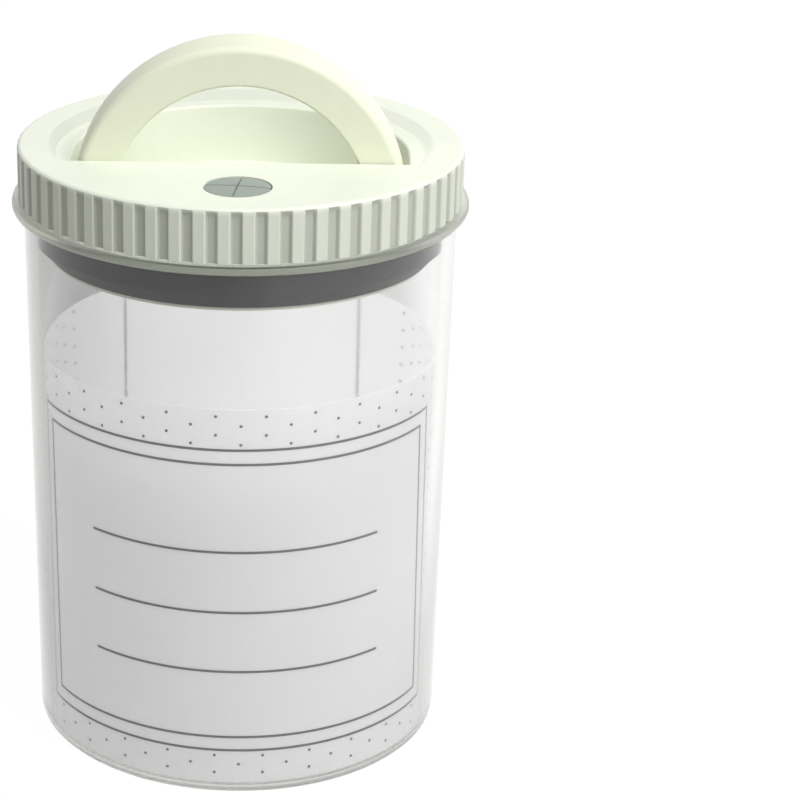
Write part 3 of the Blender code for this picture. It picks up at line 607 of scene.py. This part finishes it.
class CANISTER_OT_paper(bpy.types.Operator):
    """Print and finish the rolled paper insert"""

    bl_idname = "canister.paper"
    bl_label = "Paper insert"

    def execute(self, context):
        colours = context.scene.canister_colours
        sizes = context.scene.canister_print
        material, tree, shader = new_material("label_paper")
        place = node(tree, "ShaderNodeTexCoord").outputs["Object"]
        ink_cover = 0.85
        light_through = 0.64
        tone_change = 0.06
        smoothest = 0.62
        roughness_change = 0.15
        ink = self.printed(tree, place, sizes)
        fibres = node(tree, "ShaderNodeTexNoise", Scale=900.0, Detail=4.0, Roughness=0.7)
        tree.links.new(place, fibres.inputs["Vector"])
        swing = maths(tree, "SUBTRACT", fibres.outputs["Fac"], 0.5)
        tone = maths(tree, "MULTIPLY_ADD", swing, tone_change, 1.0)
        blank = node(tree, "ShaderNodeVectorMath", operation="SCALE")
        blank.inputs[0].default_value = colours.paper
        tree.links.new(tone, blank.inputs["Scale"])
        strength = maths(tree, "MULTIPLY", ink, ink_cover)
        colour = mixed_colour(tree, strength, blank.outputs[0], colours.ink)
        tree.links.new(colour, shader.inputs["Base Color"])
        rough = maths(tree, "MULTIPLY_ADD", fibres.outputs["Fac"], roughness_change, smoothest)
        tree.links.new(rough, shader.inputs["Roughness"])
        bump = node(tree, "ShaderNodeBump", Strength=0.4, Distance=0.00002)
        tree.links.new(fibres.outputs["Fac"], bump.inputs["Height"])
        tree.links.new(bump.outputs[0], shader.inputs["Normal"])
        through = tree.nodes.new("ShaderNodeBsdfTranslucent")
        tree.links.new(colour, through.inputs["Color"])
        mix = node(tree, "ShaderNodeMixShader", Fac=light_through)
        tree.links.new(shader.outputs[0], mix.inputs[1])
        tree.links.new(through.outputs[0], mix.inputs[2])
        tree.links.new(mix.outputs[0], tree.nodes["Material Output"].inputs["Surface"])
        self.roll_sheet(material)
        return {"FINISHED"}

    def printed(self, tree, place, sizes):
        """1 on the print, less on the pale rules at the rear, and 0 on blank paper."""
        pale = 0.45
        x, y, up, radius = coordinates(tree, place)
        angle = maths(tree, "ARCTAN2", x, maths(tree, "MULTIPLY", y, -1.0))
        curve = maths(tree, "MULTIPLY_ADD", angle, radius, -sizes.frame_centre)
        lean = maths(tree, "MULTIPLY_ADD", up, sizes.frame_lean, -sizes.frame_lean * sizes.frame_top)
        along = maths(tree, "ADD", curve, lean)
        rules = self.frame_rules(tree, along, up, sizes)
        dots = self.dots_round_frame(tree, along, curve, up, sizes)
        lines = self.writing_lines(tree, along, up, sizes)
        pale_rules = maths(tree, "MULTIPLY", self.back_rules(tree, x, y, sizes), pale)
        ink = maths(tree, "MAXIMUM", rules, dots)
        return maths(tree, "MAXIMUM", ink, maths(tree, "MAXIMUM", lines, pale_rules))

    def frame_rules(self, tree, along, up, sizes):
        """1 on the two rules of the frame, one inside the other."""
        rules = []
        for inset in (0.0, sizes.frame_gap):
            half_width = sizes.frame_half_width - inset
            low = sizes.frame_foot + inset
            high = sizes.frame_top - inset
            rules.append(rectangle_rule(tree, along, up, half_width, low, high, sizes.rule_width))
        return maths(tree, "MAXIMUM", rules[0], rules[1])

    def dots_round_frame(self, tree, along, curve, up, sizes):
        """1 on the dots outside the frame, away from the sheet's rear and foot."""
        across = maths(tree, "SUBTRACT", curve, sizes.dot_shift)
        above = maths(tree, "SUBTRACT", up, sizes.frame_top + sizes.dot_lift)
        dots = dot_field(tree, across, above, sizes.dot_pitch, sizes.dot_rise, sizes.dot_radius)
        frame_side = sizes.frame_half_width + sizes.side_margin
        beside = maths(tree, "GREATER_THAN", maths(tree, "ABSOLUTE", along), frame_side)
        over = maths(tree, "GREATER_THAN", up, sizes.frame_top - sizes.dot_radius)
        below = maths(tree, "LESS_THAN", up, sizes.frame_foot + sizes.dot_radius)
        outside = maths(tree, "MAXIMUM", beside, maths(tree, "MAXIMUM", over, below))
        in_front = band(tree, across, 0.0, (sizes.dot_columns + 0.5) * sizes.dot_pitch)
        off_foot = maths(tree, "GREATER_THAN", up, PAPER_LOW.z + sizes.foot_margin)
        printed = maths(tree, "MULTIPLY", in_front, off_foot)
        return maths(tree, "MULTIPLY", maths(tree, "MULTIPLY", dots, outside), printed)

    def writing_lines(self, tree, along, up, sizes):
        """1 on three level lines to write on."""
        lines = None
        for step in (-1, 0, 1):
            line = band(tree, up, sizes.line_height + step * sizes.line_pitch, sizes.rule_width / 2)
            lines = line if lines is None else maths(tree, "MAXIMUM", lines, line)
        return maths(tree, "MULTIPLY", lines, band(tree, along, 0.0, sizes.line_half_width))

    def back_rules(self, tree, x, y, sizes):
        """1 on the upright rules at the sheet's rear, either side of where its ends meet."""
        behind = maths(tree, "GREATER_THAN", y, 0.0)
        left = band(tree, x, -sizes.back_rule_reach, sizes.rule_width / 2)
        right = band(tree, x, sizes.back_rule_reach, sizes.rule_width / 2)
        return maths(tree, "MULTIPLY", maths(tree, "MAXIMUM", left, right), behind)

    def roll_sheet(self, material):
        """Rolls the sheet up against the jar's wall, with its ends edge to edge at the back."""
        sheet_thickness = 0.0002
        steps = 360
        half_span = math.radians(179.999)
        foot_radius, top_radius = sheet_radii()
        shape = bmesh.new()
        columns = []
        for step in range(steps + 1):
            angle = -half_span + 2 * half_span * step / steps
            corners = []
            for radius, height in ((foot_radius, PAPER_LOW.z), (top_radius, PAPER_HIGH.z)):
                for face in (0.0, sheet_thickness):
                    reach = radius - face
                    corners.append(Vector((reach * math.sin(angle), -reach * math.cos(angle), height)))
            columns.append([shape.verts.new(corner) for corner in corners])
        ring = (0, 2, 3, 1)
        for near, far in zip(columns, columns[1:]):
            for here, after in zip(ring, ring[1:] + ring[:1]):
                shape.faces.new((near[here], near[after], far[after], far[here]))
        shape.faces.new([columns[0][corner] for corner in reversed(ring)])
        shape.faces.new([columns[-1][corner] for corner in ring])
        bmesh.ops.recalc_face_normals(shape, faces=shape.faces)
        mesh = bpy.data.meshes.new("label_insert_fine")
        shape.to_mesh(mesh)
        shape.free()
        smoothed(stand_in("label_insert", mesh, material))


class CANISTER_OT_lid(bpy.types.Operator):
    """Finish the ribbed lid and the cup under it"""

    bl_idname = "canister.lid"
    bl_label = "Lid"

    def execute(self, context):
        colours = context.scene.canister_colours
        lid, tree, shader = moulded_material("lid_ivory", colours.ivory, roughness=0.46)
        shader.inputs["Specular IOR Level"].default_value = 0.3
        self.paint_skirt_shade(tree, shader, colours.painted_skirt_shade)
        ribs_start = LID_HIGH.x - 4 * GROOVE_DEPTH / 3
        softened_copy("lid_shell", lid, width=0.0007, is_soft=lambda place: place.xy.length > ribs_start)
        under, _, _ = moulded_material("retainer_ivory", colours.ivory, roughness=0.42)
        softened_copy("seal_retainer", under, width=0.0002)
        return {"FINISHED"}

    def paint_skirt_shade(self, tree, shader, shade):
        """Paints shade into the lid's skirt colour, most in the grooves and some on the ribs' faces."""
        rib_painted_shade_share = 0.35
        _, _, up, radius = coordinates(tree, node(tree, "ShaderNodeTexCoord").outputs["Object"])
        groove_floor = LID_HIGH.x - GROOVE_DEPTH
        rib_face = LID_HIGH.x - GROOVE_DEPTH / 9
        half_way = groove_floor + GROOVE_DEPTH / 2
        depth = ramp(tree, radius, low=half_way, high=rib_face, at_low=1.0, at_high=rib_painted_shade_share)
        outer = maths(tree, "GREATER_THAN", radius, groove_floor - GROOVE_DEPTH / 2)
        grooves_end = LID_TOP - 2 * GROOVE_DEPTH
        below = ramp(tree, up, low=grooves_end, high=grooves_end + GROOVE_DEPTH, at_low=1.0, at_high=0.0)
        painted_shade_mask = maths(tree, "MULTIPLY", maths(tree, "MULTIPLY", depth, outer), below)
        # Painted shade: darkens the skirt's base colour where the mask is.
        scale = maths(tree, "MULTIPLY_ADD", painted_shade_mask, -shade, 1.0)
        painted_shade_colour = node(tree, "ShaderNodeVectorMath", operation="SCALE")
        tree.links.new(shader.inputs["Base Color"].links[0].from_socket, painted_shade_colour.inputs[0])
        tree.links.new(scale, painted_shade_colour.inputs["Scale"])
        tree.links.new(painted_shade_colour.outputs[0], shader.inputs["Base Color"])


class CANISTER_OT_handle(bpy.types.Operator):
    """Finish the fold-down handle and its pins"""

    bl_idname = "canister.handle"
    bl_label = "Handle and pins"

    def execute(self, context):
        colours = context.scene.canister_colours
        material, _, shader = moulded_material("handle_ivory", colours.handle, roughness=0.44)
        shader.inputs["Specular IOR Level"].default_value = 0.3
        arch_start = LID_TOP - 0.004
        softened_copy("handle", material, width=0.0003, is_soft=lambda place: place.z > arch_start)
        steel, _, shader = moulded_material(
            "pin_steel", colours.steel, roughness=0.3, grain_size=0.0003, grain_height=0.000004
        )
        shader.inputs["Metallic"].default_value = 1.0
        for name in ("handle_pin_left", "handle_pin_right"):
            softened_copy(name, steel, width=0.0002)
        return {"FINISHED"}


class CANISTER_OT_silicone(bpy.types.Operator):
    """Finish the seal, the valve button and its flap"""

    bl_idname = "canister.silicone"
    bl_label = "Silicone pieces"

    def execute(self, context):
        colours = context.scene.canister_colours
        seal, _, shader = moulded_material(
            "seal_silicone", colours.seal, shade_change=0.10, roughness=0.6, grain_size=0.0004
        )
        shader.inputs["Specular IOR Level"].default_value = 0.25
        turned_again("seal_ring", seal, steps=240)
        valve, _, shader = moulded_material(
            "valve_silicone",
            colours.valve,
            shade_change=0.12,
            roughness=0.55,
            grain_size=0.0004,
            grain_height=0.00002,
        )
        shader.inputs["Specular IOR Level"].default_value = 0.3
        face_start = LID_TOP - 0.001
        softened_copy("valve_button", valve, width=0.00008, is_soft=lambda place: place.z > face_start)
        softened_copy("valve_flap", valve, width=0.0001)
        stem, _, _ = moulded_material("stem_ivory", colours.ivory, roughness=0.4)
        softened_copy("valve_stem", stem, width=0.0002)
        return {"FINISHED"}


# Stage


def aimed(place, target):
    """A matrix that stands at a place and looks at a target along -Z."""
    turn = (Vector(target) - Vector(place)).to_track_quat("-Z", "Y")
    return Matrix.Translation(place) @ turn.to_matrix().to_4x4()


def add_lamp(name, place, target, size, power):
    """A square area lamp aimed at a target."""
    lamp = bpy.data.lights.new(name, "AREA")
    lamp.size = size
    lamp.energy = power
    obj = bpy.data.objects.new(name, lamp)
    obj.matrix_world = aimed(place, target)
    bpy.context.scene.collection.objects.link(obj)
    return obj


class CANISTER_OT_stage(bpy.types.Operator):
    """Set the floor, the lamps, the world and the camera"""

    bl_idname = "canister.stage"
    bl_label = "Stage"

    def execute(self, context):
        stage = context.scene.canister_stage
        self.add_camera(context.scene, stage)
        self.add_world(context.scene, stage)
        self.add_floor()
        middle = (0, 0, LID_TOP / 2)
        add_lamp("key_lamp", (0.50, -0.49, 1.08), middle, size=0.7, power=stage.key_power)
        add_lamp("side_lamp", (0.95, -0.65, 0.16), middle, size=0.5, power=stage.side_power)
        back_lamp = add_lamp("back_lamp", (0.3, 1.12, 0.14), middle, size=0.7, power=stage.back_power)
        back_lamp.visible_glossy = False
        return {"FINISHED"}

    def add_camera(self, scene, stage):
        """Stands the camera where the photograph was taken from."""
        data = bpy.data.cameras.new("photo_camera")
        data.lens = stage.lens
        data.sensor_width = 36.0
        data.shift_x = stage.shift
        data.clip_start = 0.01
        data.clip_end = 20.0
        camera = bpy.data.objects.new("photo_camera", data)
        scene.collection.objects.link(camera)
        round_z = Matrix.Rotation(stage.camera_turn, 3, "Z")
        away = Vector((0, -math.cos(stage.camera_rise), math.sin(stage.camera_rise))) * stage.camera_distance
        place = round_z @ away + Vector((0, 0, LID_TOP))
        right = round_z @ Vector((1, 0, 0))
        up = round_z @ Vector((0, math.sin(stage.camera_tilt), math.cos(stage.camera_tilt)))
        forward = round_z @ Vector((0, math.cos(stage.camera_tilt), -math.sin(stage.camera_tilt)))
        lean_cos, lean_sin = math.cos(stage.camera_roll), math.sin(stage.camera_roll)
        leaned_right = right * lean_cos + up * lean_sin
        leaned_up = up * lean_cos - right * lean_sin
        turn = Matrix((leaned_right, leaned_up, -forward)).transposed()
        camera.matrix_world = Matrix.Translation(place) @ turn.to_4x4()
        scene.camera = camera

    def add_world(self, scene, stage):
        """White behind the canister and in its reflections, and a softer light on it."""
        world = bpy.data.worlds.new("studio")
        world.use_nodes = True
        scene.world = world
        tree = world.node_tree
        background = tree.nodes["Background"]
        background.inputs["Color"].default_value = (1.0, 1.0, 1.0, 1.0)
        path = tree.nodes.new("ShaderNodeLightPath")
        seen = maths(tree, "MAXIMUM", path.outputs["Is Camera Ray"], path.outputs["Is Transmission Ray"])
        seen = maths(tree, "MAXIMUM", seen, path.outputs["Is Glossy Ray"])
        lift = maths(tree, "MULTIPLY_ADD", seen, 1.0 - stage.world_strength, stage.world_strength)
        tree.links.new(lift, background.inputs["Strength"])
        scene.view_settings.view_transform = "Standard"

    def add_floor(self):
        """A pale floor that shows a faint shadow.

        Through clear plastic it shows painted shade: greyer behind the canister, most at the left,
        but not under the jar or far away.
        """
        glow_share = 0.94
        white = 1.04
        bpy.ops.mesh.primitive_plane_add(size=6.0, location=(0, 0, -0.0002))
        floor = bpy.context.object
        floor.name = "floor"
        material, tree, shader = new_material("floor_white")
        shader.inputs["Base Color"].default_value = (0.5, 0.5, 0.5, 1.0)
        shader.inputs["Roughness"].default_value = 0.9
        glow = tree.nodes.new("ShaderNodeEmission")
        x, _, _, radius = coordinates(tree, node(tree, "ShaderNodeTexCoord").outputs["Object"])
        # Painted light and shade: seen through plastic, the floor is darker to the left and has a painted
        # shadow just behind the jar.
        painted_light_sweep = ramp(tree, x, low=-0.10, high=0.10, at_low=0.46, at_high=1.22)
        aside = maths(tree, "ABSOLUTE", x)
        shade = ramp(tree, aside, low=0.08, high=0.14, at_low=0.66, at_high=1.0)
        path = tree.nodes.new("ShaderNodeLightPath")
        through = path.outputs["Is Transmission Ray"]
        under = maths(tree, "LESS_THAN", radius, sheet_radii()[0])
        far = ramp(tree, radius, low=0.5, high=0.8, at_low=0.0, at_high=1.0)
        plain_white = maths(tree, "MAXIMUM", under, far)
        behind = maths(tree, "MAXIMUM", maths(tree, "MULTIPLY", painted_light_sweep, shade), plain_white)
        level = maths(tree, "MULTIPLY_ADD", through, maths(tree, "SUBTRACT", behind, white), white)
        tree.links.new(level, glow.inputs["Strength"])
        seen = maths(tree, "MAXIMUM", path.outputs["Is Camera Ray"], through)
        seen = maths(tree, "MAXIMUM", seen, path.outputs["Is Glossy Ray"])
        mix = tree.nodes.new("ShaderNodeMixShader")
        tree.links.new(maths(tree, "MULTIPLY", seen, glow_share), mix.inputs[0])
        tree.links.new(shader.outputs[0], mix.inputs[1])
        tree.links.new(glow.outputs[0], mix.inputs[2])
        tree.links.new(mix.outputs[0], tree.nodes["Material Output"].inputs["Surface"])
        floor.data.materials.append(material)


# Panel and start


class CANISTER_PT_panel(bpy.types.Panel):
    """Lists the canister's pieces, sizes and colours"""

    bl_idname = "CANISTER_PT_panel"
    bl_label = "Storage canister"
    bl_space_type = "VIEW_3D"
    bl_region_type = "UI"
    bl_category = "Canister"

    def draw(self, context):
        layout = self.layout
        for operator in OPERATORS:
            layout.operator(operator.bl_idname)
        scene = context.scene
        for group in (scene.canister_print, scene.canister_colours, scene.canister_stage):
            box = layout.box()
            for name in group.bl_rna.properties.keys():
                if name not in ("rna_type", "name"):
                    box.prop(group, name)


GROUPS = (CanisterPrint, CanisterColours, CanisterStage)
OPERATORS = (
    CANISTER_OT_jar,
    CANISTER_OT_paper,
    CANISTER_OT_lid,
    CANISTER_OT_handle,
    CANISTER_OT_silicone,
    CANISTER_OT_stage,
)


def register():
    for cls in GROUPS + OPERATORS + (CANISTER_PT_panel,):
        bpy.utils.register_class(cls)
    bpy.types.Scene.canister_print = bpy.props.PointerProperty(type=CanisterPrint)
    bpy.types.Scene.canister_colours = bpy.props.PointerProperty(type=CanisterColours)
    bpy.types.Scene.canister_stage = bpy.props.PointerProperty(type=CanisterStage)


def unregister():
    del bpy.types.Scene.canister_stage
    del bpy.types.Scene.canister_colours
    del bpy.types.Scene.canister_print
    for cls in reversed(GROUPS + OPERATORS + (CANISTER_PT_panel,)):
        bpy.utils.unregister_class(cls)


def main():
    """Builds everything in order."""
    register()
    bpy.ops.canister.jar()
    bpy.ops.canister.paper()
    bpy.ops.canister.lid()
    bpy.ops.canister.handle()
    bpy.ops.canister.silicone()
    bpy.ops.canister.stage()


if __name__ == "__main__":
    main()
